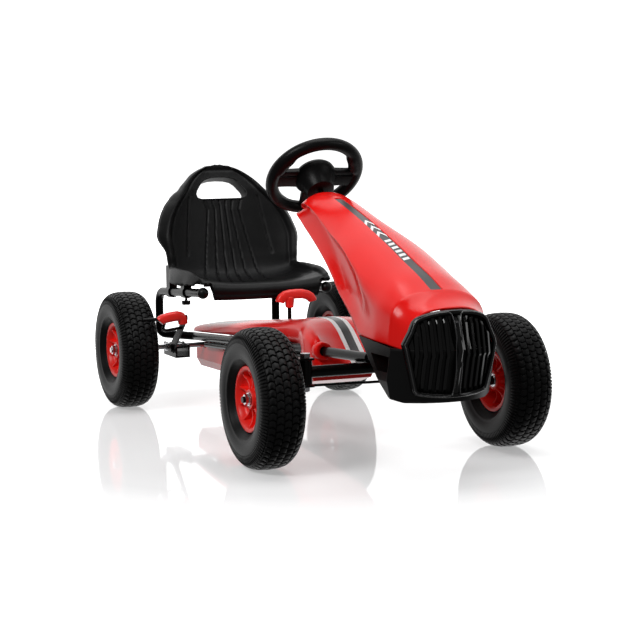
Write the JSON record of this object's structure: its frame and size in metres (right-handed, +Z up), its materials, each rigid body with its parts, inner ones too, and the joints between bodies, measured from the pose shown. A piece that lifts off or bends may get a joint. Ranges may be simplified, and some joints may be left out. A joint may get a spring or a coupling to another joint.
{
  "type": "pedal go kart",
  "caption": "Child's pedal go kart: tube frame with moulded hood, chain case and bucket seat, steered front wheels, chain-driven rear axle and two hand levers.",
  "frame": {"origin": "on the ground under the middle of the kart's overall box", "axes": "+Z up, -Y forwards, +X to the kart's left"},
  "size_m": [0.6134, 1.214, 0.5995],
  "materials": {
    "red_plastic": "glossy moulded red",
    "black_gloss": "gloss black",
    "black_plastic": "fine-grained black",
    "black_paint": "black powder coat",
    "steel": "zinc plated",
    "tyre_rubber": "matt tread",
    "soft_rubber": "soft"
  },
  "bodies": {
    "frame": {"side_tubes": "black_paint", "seat_rails": "black_paint", "brace_tubes": "black_paint", "nose_brackets": "black_paint", "rail_caps": "black_plastic", "bearing_brackets": "black_paint", "frame_bushes": "black_plastic", "front_beam": "black_paint", "gear_shaft": "steel", "column_tube": "black_paint", "column_bushes": "black_plastic", "chain_cover_upper": "red_plastic", "chain_cover_lower": "red_plastic", "hood": "red_plastic", "nose_shell": "black_plastic", "grille_frame": "black_gloss", "grille_insert": "black_gloss", "chain": "steel", "brake_pivot": "steel"},
    "steering": {"steering_wheel": "black_plastic", "hub_cap": "black_plastic", "steering_shaft": "steel", "pitman_arm": "black_paint"},
    "knuckle_right": {"knuckle_right": "black_paint", "knuckle_fasteners_right": "steel"},
    "knuckle_left": {"knuckle_left": "black_paint", "knuckle_fasteners_left": "steel"},
    "tie_rod_right": {"tie_rod_right": "black_paint"},
    "tie_rod_left": {"tie_rod_left": "black_paint"},
    "front_wheel_right": {"tyre_front_right": "tyre_rubber", "inner_tube_front_right": "soft_rubber", "rim_front_right": "red_plastic", "bearings_front_right": "steel"},
    "front_wheel_left": {"tyre_front_left": "tyre_rubber", "inner_tube_front_left": "soft_rubber", "rim_front_left": "red_plastic", "bearings_front_left": "steel"},
    "rear_axle": {"rear_axle": "steel", "rear_sprocket": "steel", "rear_fasteners": "steel", "tyre_rear_right": "tyre_rubber", "inner_tube_rear_right": "soft_rubber", "rim_rear_right": "red_plastic", "bearings_rear_right": "steel"},
    "rear_wheel_left": {"tyre_rear_left": "tyre_rubber", "inner_tube_rear_left": "soft_rubber", "rim_rear_left": "red_plastic", "bearings_rear_left": "steel"},
    "crank": {"crank": "black_paint", "crank_sprocket": "steel", "pedal_caps": "black_plastic"},
    "pedal_right": {"pedal_right": "black_plastic"},
    "pedal_left": {"pedal_left": "black_plastic"},
    "seat": {"seat_shell": "black_plastic", "seat_clamps": "black_paint", "clamp_knobs": "black_plastic"},
    "brake_lever": {"brake_lever": "black_paint", "brake_grip": "red_plastic"},
    "gear_lever": {"gear_lever": "black_paint", "gear_grip": "red_plastic"}
  },
  "joints": [
    {"name": "steering_turn", "type": "hinge", "parent": "frame", "child": "steering", "pos_m": [0, 0.0145, 0.522], "axis": [0, 0.7169, 0.6972], "range_deg": [-25, 25]},
    {"name": "knuckle_right_turn", "type": "hinge", "parent": "frame", "child": "knuckle_right", "pos_m": [-0.165, -0.312, 0.172], "axis": [0, 0, 1], "range_deg": [-24, 24]},
    {"name": "knuckle_left_turn", "type": "hinge", "parent": "frame", "child": "knuckle_left", "pos_m": [0.165, -0.312, 0.172], "axis": [0, 0, 1], "range_deg": [-24, 24]},
    {"name": "tie_rod_right_turn", "type": "hinge", "parent": "knuckle_right", "child": "tie_rod_right", "pos_m": [-0.165, -0.276, 0.1412], "axis": [0, 0, 1], "range_deg": [-24, 24]},
    {"name": "tie_rod_left_turn", "type": "hinge", "parent": "knuckle_left", "child": "tie_rod_left", "pos_m": [0.165, -0.276, 0.1412], "axis": [0, 0, 1], "range_deg": [-24, 24]},
    {"name": "front_wheel_right_spin", "type": "hinge", "parent": "knuckle_right", "child": "front_wheel_right", "pos_m": [-0.252, -0.312, 0.13], "axis": [1, 0, 0], "continuous": true},
    {"name": "front_wheel_left_spin", "type": "hinge", "parent": "knuckle_left", "child": "front_wheel_left", "pos_m": [0.252, -0.312, 0.13], "axis": [1, 0, 0], "continuous": true},
    {"name": "rear_axle_spin", "type": "hinge", "parent": "frame", "child": "rear_axle", "pos_m": [0, 0.477, 0.13], "axis": [1, 0, 0], "continuous": true},
    {"name": "rear_wheel_left_spin", "type": "hinge", "parent": "rear_axle", "child": "rear_wheel_left", "pos_m": [0.2635, 0.477, 0.13], "axis": [1, 0, 0], "continuous": true},
    {"name": "crank_spin", "type": "hinge", "parent": "frame", "child": "crank", "pos_m": [0, -0.042, 0.153], "axis": [1, 0, 0], "continuous": true},
    {"name": "pedal_right_spin", "type": "hinge", "parent": "crank", "child": "pedal_right", "pos_m": [-0.155, 0.003, 0.07506], "axis": [1, 0, 0], "continuous": true},
    {"name": "pedal_left_spin", "type": "hinge", "parent": "crank", "child": "pedal_left", "pos_m": [0.155, -0.087, 0.23094], "axis": [1, 0, 0], "continuous": true},
    {"name": "seat_slide", "type": "slide", "parent": "frame", "child": "seat", "axis": [0, 0.9978, -0.0669], "range_m": [0, 0.045]},
    {"name": "brake_lever_pull", "type": "hinge", "parent": "frame", "child": "brake_lever", "pos_m": [-0.165, 0.448, 0.13], "axis": [-1, 0, 0], "range_deg": [0, 38]},
    {"name": "gear_lever_push", "type": "hinge", "parent": "frame", "child": "gear_lever", "pos_m": [0.044, 0.26, 0.16], "axis": [1, 0, 0], "range_deg": [0, 20]}
  ],
  "couplings": [
    {"joint": "knuckle_right_turn", "follows": "steering_turn", "ratio": 0.94444},
    {"joint": "knuckle_left_turn", "follows": "steering_turn", "ratio": 0.94444},
    {"joint": "tie_rod_right_turn", "follows": "steering_turn", "ratio": -0.94444},
    {"joint": "tie_rod_left_turn", "follows": "steering_turn", "ratio": -0.94444},
    {"joint": "crank_spin", "follows": "rear_axle_spin", "ratio": 0.88889}
  ]
}
